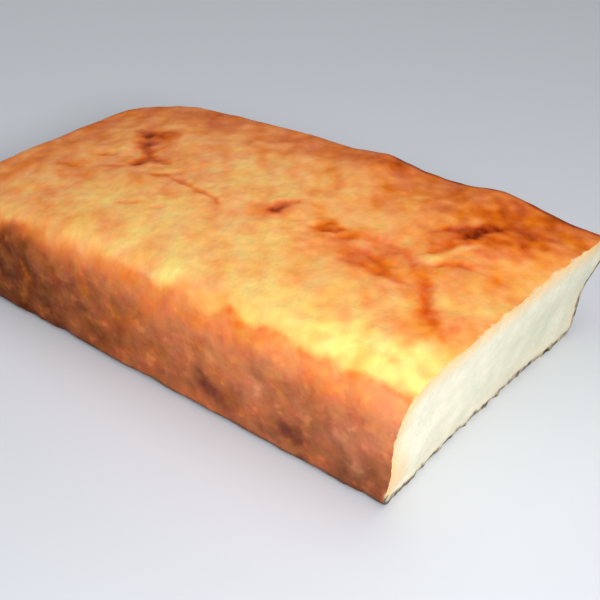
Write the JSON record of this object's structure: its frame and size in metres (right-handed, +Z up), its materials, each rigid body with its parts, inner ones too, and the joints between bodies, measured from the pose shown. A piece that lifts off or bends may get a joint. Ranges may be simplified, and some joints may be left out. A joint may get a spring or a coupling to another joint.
{
  "type": "coconut loaf cake",
  "caption": "Low loaf cake with rounded baked corners, a wrinkled browned top and a flat base, sliced off square at one end.",
  "frame": {"origin": "middle of the base on the surface that the cake rests on", "axes": "+X along the loaf towards the cut face, +Y towards the far long side, +Z up"},
  "size_m": [0.1954, 0.1186, 0.0447],
  "materials": {
    "baked_crust": "matt baked crust, golden on top and brown at the sides, with a pale fine crumb on the cut face"
  },
  "bodies": {
    "root": {"loaf_cake": "baked_crust"}
  },
  "joints": []
}
